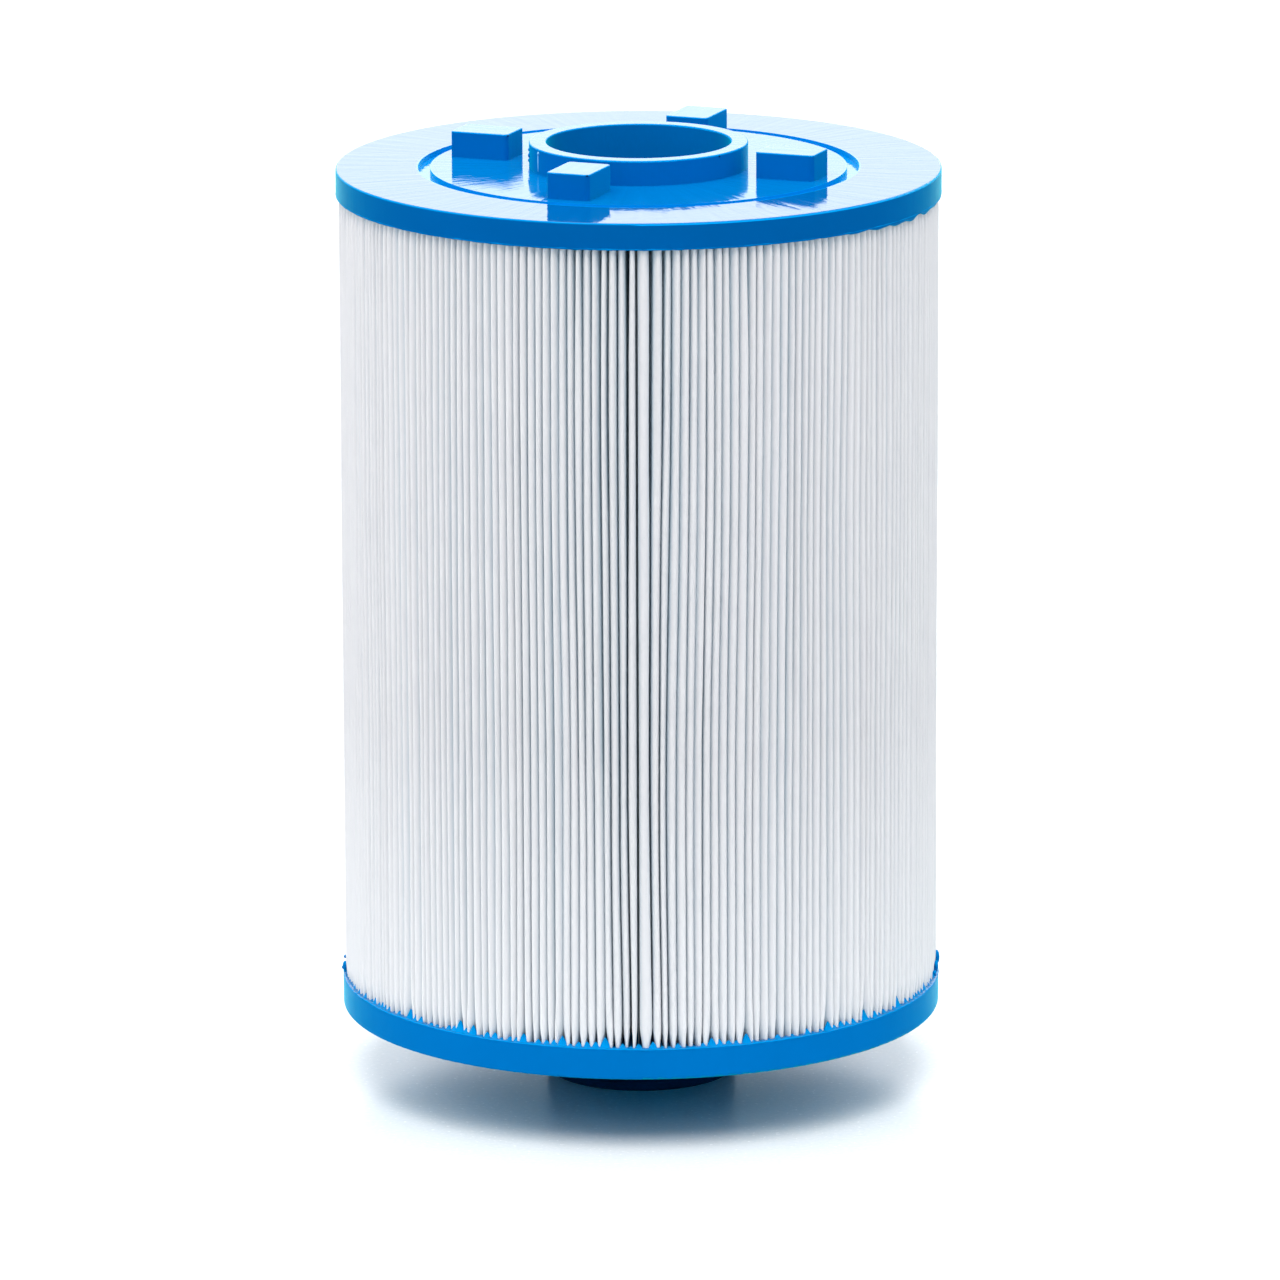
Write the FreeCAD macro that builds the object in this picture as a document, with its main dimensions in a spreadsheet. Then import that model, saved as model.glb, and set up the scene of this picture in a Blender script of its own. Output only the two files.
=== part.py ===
"""Pleated filter cartridge for a spa, standing on its threaded spigot.

Millimetres, +Z up. The origin is the centre of the spigot's lower end, on the cartridge's axis.
"""
import FreeCAD, Part
import math
import os

import Sketcher
from FreeCAD import Vector

# alias, value, what it is
DIMENSIONS = (
    ("cap_radius", 76.2, "outside radius of both end caps, 6 inches across"),
    ("spigot_reach", 18.0, "spigot's length below the bottom cap"),
    ("bottom_rim", 7.8, "height of the bottom cap's rim"),
    ("open_span", 202.7, "pleats that show between the two rims"),
    ("top_rim", 6.6, "height of the top cap's rim"),
    ("pleat_setback", 0.3, "how far the pleats stand inside the caps' edge"),
    ("bottom_edge_round", 0.8, "rounding of the bottom cap's lower edge"),
    ("top_edge_round", 0.5, "rounding of the top cap's upper edge"),
    ("pleat_edge_round", 0.25, "rounding of each cap's edge beside the pleats"),
    ("plate_radius", 52.4, "outside radius of the lug plate"),
    ("plate_thickness", 2.6, "thickness of the lug plate"),
    ("moat_radius", 55.5, "outer radius of the shallow groove round the lug plate"),
    ("moat_depth", 1.4, "depth of that groove"),
    ("neck_bore", 23.2, "radius of the hole through the neck"),
    ("neck_radius", 27.55, "outside radius of the neck collar"),
    ("neck_height", 6.3, "height of the neck collar above the plate"),
    ("neck_edge_round", 0.4, "rounding of the collar's upper edges"),
    ("lug_count", 4, "lugs round the neck"),
    ("lug_inner", 33.3, "distance from the axis to a lug's inner face"),
    ("lug_length", 15.5, "radial length of a lug"),
    ("lug_width", 11.4, "width of a lug across its radius"),
    ("lug_height", 6.6, "height of a lug above the plate"),
    ("lug_corner", 1.2, "radius of a lug's upright corners"),
    ("lug_edge_round", 0.35, "rounding of a lug's upper edges"),
    ("lug_turn", -21.2, "plan angle of the first lug, in degrees"),
    ("core_bore", 31.0, "inside radius of the centre core"),
    ("core_wall", 2.5, "wall thickness of the centre core"),
    ("window_count", 8, "windows round the core"),
    ("window_height", 180.0, "height of a window"),
    ("window_width", 12.0, "width of a window"),
    ("sleeve_gap", 0.2, "room between the core and the sleeves that locate it"),
    ("sleeve_wall", 2.8, "wall thickness of those sleeves"),
    ("sleeve_length", 8.0, "length of those sleeves inside the core"),
    ("media_inner", 36.0, "radius to the inner folds of the pleats"),
    ("seam_turn", -90.5, "plan angle of the sheet's seam, in degrees"),
    ("seam_gap", 0.3, "space between the sheet's two ends"),
    ("seam_inner", 40.0, "radius where the seam's bond starts"),
    ("seam_outer", 72.0, "radius where the seam's bond ends"),
    ("flange_radius", 40.0, "outside radius of the spigot's flange"),
    ("flange_thickness", 2.8, "thickness of that flange"),
    ("boss_radius", 26.0, "radius of the spigot's boss through the bottom cap"),
    ("spigot_bore", 19.5, "radius of the hole through the spigot"),
    ("thread_radius", 24.15, "major radius of the 1 1/2 inch pipe thread"),
    ("thread_pitch", 2.209, "pitch of the thread, 11.5 turns to the inch"),
    ("thread_depth", 1.4, "depth of the thread"),
    ("thread_mouth", 1.86, "width of the thread's groove at its mouth"),
    ("thread_root", 0.27, "width of the groove at its bottom"),
    ("thread_overcut", 0.14, "how far the groove's section reaches outside the thread"),
    ("thread_start", 0.3, "distance from the spigot's end to the thread's first turn"),
    ("thread_run", 13.3, "length of the thread along the axis"),
    ("thread_lead_in", 0.6, "chamfer on the spigot's end"),
)

MEDIA_FOOT = "dims.spigot_reach + dims.bottom_rim"
TOP_RIM_FOOT = f"{MEDIA_FOOT} + dims.open_span"
SLEEVE_RADIUS = "(dims.core_bore - dims.sleeve_gap)"
SLEEVE_BORE = "dims.core_bore - dims.sleeve_gap - dims.sleeve_wall"
ON_EDGE = 1e-4
LEAST_CUT = 1.0


def make_sheet(doc):
    """The driving dimensions, one plain number a row, each with its alias."""
    sheet = doc.addObject("Spreadsheet::Sheet", "dims")
    for row, (alias, value, meaning) in enumerate(DIMENSIONS, start=1):
        sheet.set(f"A{row}", meaning)
        sheet.set(f"B{row}", str(value))
        sheet.setAlias(f"B{row}", alias)
    doc.recompute()
    return sheet


def origin_part(body, role):
    """A body's own origin plane or axis, found by its role."""
    return next(item for item in body.Origin.OriginFeatures if item.Role == role)


def new_sketch(body, name, role):
    sketch = body.newObject("Sketcher::SketchObject", name)
    sketch.AttachmentSupport = [(origin_part(body, role), "")]
    sketch.MapMode = "FlatFace"
    return sketch


def bind(sketch, constraint, name, expression):
    """Add a driving constraint and tie it to the sheet."""
    index = sketch.addConstraint(constraint)
    sketch.renameConstraint(index, name)
    sketch.setExpression(f"Constraints.{name}", expression)


def value_of(sketch, expression):
    return float(sketch.evalExpression(expression))


def draw_outline(sketch, corners):
    """A closed straight-sided outline whose corners are pairs of sheet expressions."""
    points = [Vector(value_of(sketch, across), value_of(sketch, up), 0) for across, up in corners]
    count = len(points)
    for index in range(count):
        sketch.addGeometry(Part.LineSegment(points[index], points[(index + 1) % count]))
    for index, (across, up) in enumerate(corners):
        following = (index + 1) % count
        sketch.addConstraint(Sketcher.Constraint("Coincident", index, 2, following, 1))
        bind(sketch, Sketcher.Constraint("DistanceX", -1, 1, index, 1, points[index].x), f"across_{index}", across)
        if up == "0":
            sketch.addConstraint(Sketcher.Constraint("PointOnObject", index, 1, -1))
        else:
            bind(sketch, Sketcher.Constraint("DistanceY", -1, 1, index, 1, points[index].y), f"up_{index}", up)


def turned_body(doc, label, foot, corners):
    """A body of revolution round Z, from its half section, set at its height."""
    body = doc.addObject("PartDesign::Body", label)
    body.setExpression("Placement.Base.z", foot)
    sketch = new_sketch(body, f"{label}_section", "XZ_Plane")
    draw_outline(sketch, corners)
    turned = body.newObject("PartDesign::Revolution", f"{label}_turned")
    turned.Profile = sketch
    turned.ReferenceAxis = (sketch, ["V_Axis"])
    turned.Angle = 360
    doc.recompute()
    return body


def edges_where(shape, test):
    """Names of the edges whose points all pass a test on radius and height."""
    names = []
    for number, edge in enumerate(shape.Edges, start=1):
        points = edge.discretize(5)
        if all(test(math.hypot(point.x, point.y), point.z) for point in points):
            names.append(f"Edge{number}")
    return names


def require_cut(body, uncut):
    """Stop if the last cut took nothing from the body."""
    if body.Tip.Shape.Volume > uncut - LEAST_CUT:
        raise RuntimeError(f"{body.Tip.Name} cuts nothing from {body.Label}")


def circle_at(radius, height):
    return lambda r, z: abs(r - radius) < ON_EDGE and abs(z - height) < ON_EDGE


def dress(body, kind, name, names, size_property, expression):
    """A fillet or chamfer on a body's tip, sized from the sheet."""
    base = body.Tip
    feature = body.newObject(f"PartDesign::{kind}", name)
    feature.Base = (base, names)
    feature.setExpression(size_property, expression)
    body.Document.recompute()
    return feature


def make_bottom_end_cap(doc, dims):
    """Cast disc that holds the lower ends of the pleats, round the spigot's flange."""
    flange_seat = "dims.bottom_rim - dims.flange_thickness"
    corners = (
        ("dims.boss_radius", "0"),
        ("dims.cap_radius", "0"),
        ("dims.cap_radius", "dims.bottom_rim"),
        ("dims.flange_radius", "dims.bottom_rim"),
        ("dims.flange_radius", flange_seat),
        ("dims.boss_radius", flange_seat),
    )
    body = turned_body(doc, "bottom_end_cap", "dims.spigot_reach", corners)
    lower_edge = edges_where(body.Tip.Shape, circle_at(dims.cap_radius, 0))
    dress(body, "Fillet", "lower_edge", lower_edge, "Radius", "dims.bottom_edge_round")
    pleat_edge = edges_where(body.Tip.Shape, circle_at(dims.cap_radius, dims.bottom_rim))
    dress(body, "Fillet", "upper_pleat_edge", pleat_edge, "Radius", "dims.pleat_edge_round")
    return body


def make_top_end_cap(doc, dims):
    """Cast disc that holds the upper ends of the pleats, with a ledge for the lug plate."""
    floor = "dims.top_rim - dims.plate_thickness"
    corners = (
        ("dims.core_bore", "0"),
        ("dims.cap_radius", "0"),
        ("dims.cap_radius", "dims.top_rim"),
        ("dims.moat_radius", "dims.top_rim"),
        ("dims.moat_radius", "dims.top_rim - dims.moat_depth"),
        ("dims.plate_radius", "dims.top_rim - dims.moat_depth"),
        ("dims.plate_radius", floor),
        ("dims.core_bore", floor),
    )
    body = turned_body(doc, "top_end_cap", TOP_RIM_FOOT, corners)
    upper_edge = edges_where(body.Tip.Shape, circle_at(dims.cap_radius, dims.top_rim))
    dress(body, "Fillet", "upper_edge", upper_edge, "Radius", "dims.top_edge_round")
    pleat_edge = edges_where(body.Tip.Shape, circle_at(dims.cap_radius, 0))
    dress(body, "Fillet", "lower_pleat_edge", pleat_edge, "Radius", "dims.pleat_edge_round")
    return body


def draw_lug(sketch):
    """A rectangle with rounded corners, centred on the sketch's X axis."""
    near = value_of(sketch, "dims.lug_inner")
    far = value_of(sketch, "dims.lug_inner + dims.lug_length")
    half = value_of(sketch, "dims.lug_width / 2")
    corner = value_of(sketch, "dims.lug_corner")
    sides = (
        (Vector(near + corner, -half, 0), Vector(far - corner, -half, 0)),
        (Vector(far, corner - half, 0), Vector(far, half - corner, 0)),
        (Vector(far - corner, half, 0), Vector(near + corner, half, 0)),
        (Vector(near, half - corner, 0), Vector(near, corner - half, 0)),
    )
    centres = (
        Vector(far - corner, corner - half, 0),
        Vector(far - corner, half - corner, 0),
        Vector(near + corner, half - corner, 0),
        Vector(near + corner, corner - half, 0),
    )
    for start, end in sides:
        sketch.addGeometry(Part.LineSegment(start, end))
    for quarter, centre in enumerate(centres):
        circle = Part.Circle(centre, Vector(0, 0, 1), corner)
        start = (quarter - 1) * math.pi / 2
        sketch.addGeometry(Part.ArcOfCircle(circle, start, start + math.pi / 2))
    for side in range(len(sides)):
        arc = len(sides) + side
        following = (side + 1) % len(sides)
        sketch.addConstraint(Sketcher.Constraint("Tangent", side, 2, arc, 1))
        sketch.addConstraint(Sketcher.Constraint("Tangent", arc, 2, following, 1))
        if side:
            sketch.addConstraint(Sketcher.Constraint("Equal", len(sides), arc))
    sketch.addConstraint(Sketcher.Constraint("Horizontal", 0))
    sketch.addConstraint(Sketcher.Constraint("Horizontal", 2))
    sketch.addConstraint(Sketcher.Constraint("Vertical", 3))
    sketch.addConstraint(Sketcher.Constraint("Symmetric", 1, 1, 1, 2, -1))
    bind(sketch, Sketcher.Constraint("Radius", len(sides), corner), "corner", "dims.lug_corner")
    bind(sketch, Sketcher.Constraint("DistanceX", -1, 1, 3, 1, near), "near_side", "dims.lug_inner")
    bind(sketch, Sketcher.Constraint("DistanceX", 3, 2, 1, 1, far - near), "radial_length", "dims.lug_length")
    bind(sketch, Sketcher.Constraint("DistanceY", 0, 1, 2, 2, 2 * half), "width", "dims.lug_width")


def make_lug_plate(doc, dims):
    """Moulded plate with the neck collar, four block lugs and a sleeve into the core."""
    underside = "dims.sleeve_length"
    face = "(dims.sleeve_length + dims.plate_thickness)"
    corners = (
        (SLEEVE_BORE, "0"),
        (SLEEVE_RADIUS, "0"),
        (SLEEVE_RADIUS, underside),
        ("dims.plate_radius", underside),
        ("dims.plate_radius", face),
        ("dims.neck_radius", face),
        ("dims.neck_radius", f"{face} + dims.neck_height"),
        ("dims.neck_bore", f"{face} + dims.neck_height"),
        ("dims.neck_bore", underside),
        (SLEEVE_BORE, underside),
    )
    foot = f"{TOP_RIM_FOOT} + dims.top_rim - dims.plate_thickness - dims.sleeve_length"
    body = turned_body(doc, "lug_plate", foot, corners)
    body.setExpression("Placement.Rotation.Angle", "dims.lug_turn")

    sketch = new_sketch(body, "lug_outline", "XY_Plane")
    sketch.setExpression("AttachmentOffset.Base.z", face)
    draw_lug(sketch)
    lug = body.newObject("PartDesign::Pad", "lug")
    lug.Profile = sketch
    lug.setExpression("Length", "dims.lug_height")
    doc.recompute()
    lugs = body.newObject("PartDesign::PolarPattern", "lugs")
    lugs.Originals = [lug]
    lugs.Axis = (origin_part(body, "Z_Axis"), [""])
    lugs.Angle = 360
    lugs.setExpression("Occurrences", "dims.lug_count")
    body.Tip = lugs
    doc.recompute()

    face_height = dims.sleeve_length + dims.plate_thickness
    neck_top = face_height + dims.neck_height
    lug_top = face_height + dims.lug_height
    outer_rim = edges_where(body.Tip.Shape, circle_at(dims.neck_radius, neck_top))
    inner_rim = edges_where(body.Tip.Shape, circle_at(dims.neck_bore, neck_top))
    dress(body, "Fillet", "neck_edges", outer_rim + inner_rim, "Radius", "dims.neck_edge_round")
    lug_edges = edges_where(body.Tip.Shape, lambda r, z: abs(z - lug_top) < ON_EDGE)
    dress(body, "Fillet", "lug_edges", lug_edges, "Radius", "dims.lug_edge_round")
    return body


def make_center_core(doc):
    """Stiff tube with long windows, which holds the pleats open against suction."""
    core_radius = "dims.core_bore + dims.core_wall"
    corners = (
        ("dims.core_bore", "0"),
        (core_radius, "0"),
        (core_radius, "dims.open_span"),
        ("dims.core_bore", "dims.open_span"),
    )
    body = turned_body(doc, "center_core", MEDIA_FOOT, corners)

    sill_height = "(dims.open_span - dims.window_height) / 2"
    sketch = new_sketch(body, "window_outline", "XZ_Plane")
    half_width = value_of(sketch, "dims.window_width / 2")
    sill = value_of(sketch, sill_height)
    lintel = sill + value_of(sketch, "dims.window_height")
    corner_points = (
        Vector(-half_width, sill, 0),
        Vector(half_width, sill, 0),
        Vector(half_width, lintel, 0),
        Vector(-half_width, lintel, 0),
    )
    for side in range(4):
        sketch.addGeometry(Part.LineSegment(corner_points[side], corner_points[(side + 1) % 4]))
    for side in range(4):
        sketch.addConstraint(Sketcher.Constraint("Coincident", side, 2, (side + 1) % 4, 1))
    sketch.addConstraint(Sketcher.Constraint("Vertical", 1))
    sketch.addConstraint(Sketcher.Constraint("Symmetric", 0, 1, 0, 2, -2))
    sketch.addConstraint(Sketcher.Constraint("Symmetric", 2, 1, 2, 2, -2))
    bind(sketch, Sketcher.Constraint("DistanceX", 0, 1, 0, 2, 2 * half_width), "width", "dims.window_width")
    bind(sketch, Sketcher.Constraint("DistanceY", -1, 1, 0, 1, sill), "sill", sill_height)
    bind(sketch, Sketcher.Constraint("DistanceY", 1, 1, 1, 2, lintel - sill), "rise", "dims.window_height")

    uncut = body.Tip.Shape.Volume
    window = body.newObject("PartDesign::Pocket", "window_pair")
    window.Profile = sketch
    window.Type = "ThroughAll"
    window.Midplane = True
    doc.recompute()
    ring = body.newObject("PartDesign::PolarPattern", "window_ring")
    ring.Originals = [window]
    ring.Axis = (origin_part(body, "Z_Axis"), [""])
    ring.setExpression("Angle", "180 - 360 / dims.window_count")
    ring.setExpression("Occurrences", "dims.window_count / 2")
    body.Tip = ring
    doc.recompute()
    require_cut(body, uncut)
    return body


def make_threaded_spigot(doc):
    """Moulded flange, boss and male pipe thread, with a sleeve up into the core."""
    boss_foot = "dims.spigot_reach"
    flange_top = f"({MEDIA_FOOT})"
    corners = (
        ("dims.spigot_bore", "0"),
        ("dims.thread_radius - dims.thread_lead_in", "0"),
        ("dims.thread_radius", "dims.thread_lead_in"),
        ("dims.thread_radius", boss_foot),
        ("dims.boss_radius", boss_foot),
        ("dims.boss_radius", f"{flange_top} - dims.flange_thickness"),
        ("dims.flange_radius", f"{flange_top} - dims.flange_thickness"),
        ("dims.flange_radius", flange_top),
        (SLEEVE_RADIUS, flange_top),
        (SLEEVE_RADIUS, f"{flange_top} + dims.sleeve_length"),
        (SLEEVE_BORE, f"{flange_top} + dims.sleeve_length"),
        (SLEEVE_BORE, flange_top),
        ("dims.spigot_bore", flange_top),
    )
    body = turned_body(doc, "threaded_spigot", "0", corners)

    groove = new_sketch(body, "thread_groove", "XZ_Plane")
    root = "dims.thread_radius - dims.thread_depth"
    outside = "dims.thread_radius + dims.thread_overcut"
    middle = "(dims.thread_start + dims.thread_pitch / 2)"
    groove_corners = (
        (root, f"{middle} - dims.thread_root / 2"),
        (outside, f"{middle} - dims.thread_mouth / 2"),
        (outside, f"{middle} + dims.thread_mouth / 2"),
        (root, f"{middle} + dims.thread_root / 2"),
    )
    draw_outline(groove, groove_corners)
    uncut = body.Tip.Shape.Volume
    thread = body.newObject("PartDesign::SubtractiveHelix", "thread")
    thread.Profile = groove
    thread.ReferenceAxis = (groove, ["V_Axis"])
    thread.Mode = 0
    thread.setExpression("Pitch", "dims.thread_pitch")
    thread.setExpression("Height", "dims.thread_run")
    doc.recompute()
    require_cut(body, uncut)
    return body


def seam_strip(body, name, near, far):
    """A sketch of the gap between the sheet's two ends, from one radius to another."""
    sketch = new_sketch(body, name, "XY_Plane")
    sketch.setExpression("AttachmentOffset.Base.y", "-dims.seam_gap / 2")
    draw_outline(sketch, ((near, "0"), (far, "0"), (far, "dims.seam_gap"), (near, "dims.seam_gap")))
    return sketch


def make_pleated_media(doc):
    """Envelope of the pleated filter sheet: a ring, open where the sheet's two ends meet."""
    pleat_radius = "dims.cap_radius - dims.pleat_setback"
    corners = (
        ("dims.media_inner", "0"),
        (pleat_radius, "0"),
        (pleat_radius, "dims.open_span"),
        ("dims.media_inner", "dims.open_span"),
    )
    body = turned_body(doc, "pleated_media", MEDIA_FOOT, corners)
    body.setExpression("Placement.Rotation.Angle", "dims.seam_turn")

    uncut = body.Tip.Shape.Volume
    gap = body.newObject("PartDesign::Pocket", "seam_gap")
    gap.Profile = seam_strip(body, "seam_gap_outline", "dims.core_bore", "dims.cap_radius")
    gap.Type = "ThroughAll"
    gap.Midplane = True
    doc.recompute()
    require_cut(body, uncut)
    return body


def make_media_seam(doc):
    """The bond between the sheet's two ends, in the gap that they leave."""
    body = doc.addObject("PartDesign::Body", "media_seam")
    body.setExpression("Placement.Base.z", MEDIA_FOOT)
    body.setExpression("Placement.Rotation.Angle", "dims.seam_turn")
    bond = body.newObject("PartDesign::Pad", "bond")
    bond.Profile = seam_strip(body, "bond_outline", "dims.seam_inner", "dims.seam_outer")
    bond.setExpression("Length", "dims.open_span")
    doc.recompute()
    return body


def write_parts(doc, nodes):
    for item in doc.Objects:
        if "Invalid" in item.State or "Error" in item.State:
            raise RuntimeError(f"{item.Name} didn't recompute: {item.State}")
    os.makedirs("parts", exist_ok=True)
    for node in nodes:
        shape = node.Shape
        if shape.isNull() or not shape.isValid():
            raise RuntimeError(f"{node.Label} has no valid shape")
        print(node.Label, len(shape.Solids), "solids", len(shape.Faces), "faces", round(shape.Volume), "mm3")
        shape.exportStep(f"parts/{node.Label}.step")


def main():
    doc = FreeCAD.newDocument("filter_cartridge")
    dims = make_sheet(doc)
    nodes = [
        make_bottom_end_cap(doc, dims),
        make_top_end_cap(doc, dims),
        make_lug_plate(doc, dims),
        make_center_core(doc),
        make_pleated_media(doc),
        make_media_seam(doc),
        make_threaded_spigot(doc),
    ]
    write_parts(doc, nodes)


main()
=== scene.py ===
"""Looks of a pleated filter cartridge for a spa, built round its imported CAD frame.

Metres, +Z up. The cartridge stands on its spigot with its axis on Z, and the viewer is towards -Y.
"""
import math

import bpy
import numpy as np
from mathutils import Matrix, Vector


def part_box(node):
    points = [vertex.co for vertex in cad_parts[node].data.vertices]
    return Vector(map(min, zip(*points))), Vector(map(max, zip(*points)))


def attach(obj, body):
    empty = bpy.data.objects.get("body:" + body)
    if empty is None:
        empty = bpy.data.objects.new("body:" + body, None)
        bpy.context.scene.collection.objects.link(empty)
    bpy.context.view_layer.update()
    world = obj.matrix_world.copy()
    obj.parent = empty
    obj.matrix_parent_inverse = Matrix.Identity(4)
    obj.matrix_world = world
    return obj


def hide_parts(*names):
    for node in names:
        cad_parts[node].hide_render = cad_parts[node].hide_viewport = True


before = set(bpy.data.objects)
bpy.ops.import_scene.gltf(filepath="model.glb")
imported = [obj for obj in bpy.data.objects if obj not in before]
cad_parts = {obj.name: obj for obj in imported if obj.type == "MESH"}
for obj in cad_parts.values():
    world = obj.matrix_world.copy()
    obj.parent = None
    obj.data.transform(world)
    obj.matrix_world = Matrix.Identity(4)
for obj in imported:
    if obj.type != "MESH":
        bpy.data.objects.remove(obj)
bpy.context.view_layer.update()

MM = 0.001
BODY = "root"

# Places and sizes that the CAD frame gives
CAP_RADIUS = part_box("top_end_cap")[1].x
MEDIA_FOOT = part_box("pleated_media")[0].z
MEDIA_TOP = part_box("pleated_media")[1].z
MEDIA_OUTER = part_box("pleated_media")[1].x
OBJECT_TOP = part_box("lug_plate")[1].z
SEAM_CENTRE = sum(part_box("media_seam"), Vector()) / 2
SEAM_ANGLE = math.atan2(SEAM_CENTRE.y, SEAM_CENTRE.x)

# The folded sheet, in millimetres: its thickness, the fabric in one pleat and the radius of its inner folds
PLEATS = 220
SHEET = 0.35
ROOT_RADIUS = 36.0
# Each crest is an arc in a few steps, over this angle to each side
TIP_STEPS = 4
TIP_SWEEP = math.radians(76)
# How far the crests stand inside the sheet's envelope, and how uneven they are
CREST_SETBACK = 0.4
CREST_SPREAD, CREST_WANDER = 0.14, 0.10
# Between two crests is a groove, as wide as its mouth, that narrows to a throat. Each width has a mean,
# a spread from slot to slot and a wander along the height.
GROOVE_DEPTH = 1.3
MOUTH, MOUTH_SPREAD, MOUTH_WANDER = 0.82, 0.22, 0.08
THROAT, THROAT_SPREAD, THROAT_WANDER = 0.10, 0.08, 0.03
SEAM_MOUTH, SEAM_THROAT = 1.45, 0.62
# How uneven the pleats' widths are, as a share, and the seam slot's share of the circle in pleats
WIDTH_SPREAD = 0.19
SEAM_WEIGHT = 1.5
# How far slots wander along the height on their own, slowly and quickly, and with their neighbours
SLOT_WANDER, SLOT_RIPPLE, GROUP_WANDER = 0.12, 0.035, 0.38
# How far the crests lean, from pleat to pleat and along the height
LEAN_SPREAD, LEAN_WANDER = 0.14, 0.08
# How far the pleats beside the seam lean away from it at the top, the left side's share of that, and
# the height, as a share, where they start to lean
FAN = 1.5
FAN_LEFT = 0.35
FAN_START = 0.25
# The most that folds stand apart under the top cap, and how far their crests draw in there
PARTED_TOP = 0.75
TUCK_DEPTH = 0.25
# The pinch above the bottom cap: what it takes from the sheet's thickness, the crests' width, the
# folds' width and the crests' height, and the sideways sway of the feet
PINCH_SHEET, PINCH_CREST, PINCH_FOLD, PINCH_DEPTH = 0.38, 0.34, 0.36, 0.30
FOOT_SWAY, PARTED_SWAY = 0.18, 0.40
# The least room between a crest's two sides
LEAST_BEND = 0.03
# Heights of the sheet's rows, in millimetres: above its foot, and at the end below its top
FOOT_ROWS = (0.0, 0.7, 1.5, 2.5, 3.8, 5.5, 8.0, 12.0)
MIDDLE_ROWS = tuple(range(22, 191, 14))
TOP_ROWS = (7.0, 3.5, 1.5, 0.0)
# Slots that stand open: plan angle in degrees, extra width in millimetres, and the heights, as shares
# of the pleats' length, between which they are open. One that is listed twice opens wider at its top.
OPEN_SLOTS = (
    (-103.6, 0.30, 0.60, 1.0),
    (-101.9, 0.15, 0.50, 1.0),
    (-100.3, 0.30, 0.45, 1.0),
    (-98.6, 0.15, 0.0, 1.0),
    (-97.0, 0.65, 0.40, 1.0),
    (-95.4, 0.40, 0.10, 1.0),
    (-93.8, 0.53, 0.0, 1.0),
    (-92.1, 0.55, 0.0, 1.0),
    (-88.9, 0.72, 0.10, 1.0),
    (-87.0, 0.25, 0.0, 1.0),
    (-85.6, 0.38, 0.0, 1.0),
    (-84.0, 0.22, 0.0, 1.0),
    (-82.3, 0.15, 0.0, 1.0),
    (-95.4, 0.30, 0.75, 1.0),
    (-92.1, 0.35, 0.70, 1.0),
    (-88.9, 0.40, 0.75, 1.0),
    (-87.0, 0.30, 0.80, 1.0),
    (-82.3, 0.25, 0.80, 1.0),
    (-107.0, 0.20, 0.0, 0.6),
    (-79.0, 0.25, 0.2, 0.8),
    (-60.5, 0.30, 0.5, 1.0),
    (-127.3, 0.45, 0.0, 0.30),
    (-143.6, 0.40, 0.0, 0.25),
)
# How gradually a slot opens, as a share of the pleats' length
OPENING = 0.12
# Places round the bottom cap's bead, enough of them for its teeth
TOOTH_STEPS = PLEATS * 14
# Plan angles, in degrees, where neighbouring pleats part at the bottom cap
PARTED_FEET = (-143.3, -128.9, -125.2, -112.6, -104.5, -97.2, -77.0, -70.5, -52.8, -43.0, -31.2, -18.5)

# The groove round the lug plate, from its inner to its outer radius in metres
MOAT_INNER, MOAT_OUTER = 0.0520, 0.0560

# The world's light near the floor and from above
GLOW_LOW = (0.0, 0.17, 0.27)
GLOW_HIGH = (0.56, 0.60, 0.62)
# The softboxes' slightly warm white
SOFTBOX_COLOUR = (1.03, 0.985, 0.965)

# Painted light on blue plastic: a paler blue as a painted highlight on rounded edges, and a darker blue as
# painted shade on undersides
PAINTED_HIGHLIGHT_BLUE = (0.0, 0.28, 0.72)
PAINTED_UNDERSIDE_SHADE = (0.0, 0.18, 0.38)

# Drops of resin on the outer folds, flash on the collar's wall, and dark drops that are painted shade for
# nicks in edges: for each, the plan angle, the radius and the height of its centre, then half its size
# outwards, round the axis and upwards, and its lean in degrees
RESIN_SPECKS = (
    (-178.5, 75.7, 29.8, 0.45, 0.50, 0.45, 0),
    (-177.5, 75.7, 27.9, 0.75, 0.80, 1.10, 10),
    (-179.5, 75.8, 26.6, 0.90, 0.60, 0.70, -12),
    (-1.0, 75.7, 29.0, 0.80, 0.80, 1.90, -8),
    (-2.5, 75.6, 27.2, 0.60, 1.30, 1.60, -25),
    (-6.0, 75.4, 26.4, 0.50, 0.90, 1.00, 0),
)
# The flash is drawn in a paler blue, a painted highlight
COLLAR_FLASH = (
    (-155.8, 27.55, 238.2, 0.18, 0.22, 2.70, 0),
    (-155.2, 27.60, 240.4, 0.30, 0.32, 0.35, 0),
)
COLLAR_BUMPS = (
    (-178.0, 27.5, 239.4, 0.30, 0.40, 0.40, 0),
    (-174.0, 27.5, 238.3, 0.42, 0.60, 0.65, 0),
    (-179.0, 27.5, 236.6, 0.30, 0.35, 0.45, 0),
)
# Painted shade: small dark drops stand in for the shade inside nicks
NICK_SHADES = (
    (-105.1, 48.8, 241.45, 0.28, 0.34, 0.20, 0),
    (168.0, 33.6, 241.45, 0.28, 0.34, 0.20, 0),
    (-43.0, 27.45, 240.9, 0.25, 0.34, 0.28, 0),
)


# ---------------------------------------------------------------- materials


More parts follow.
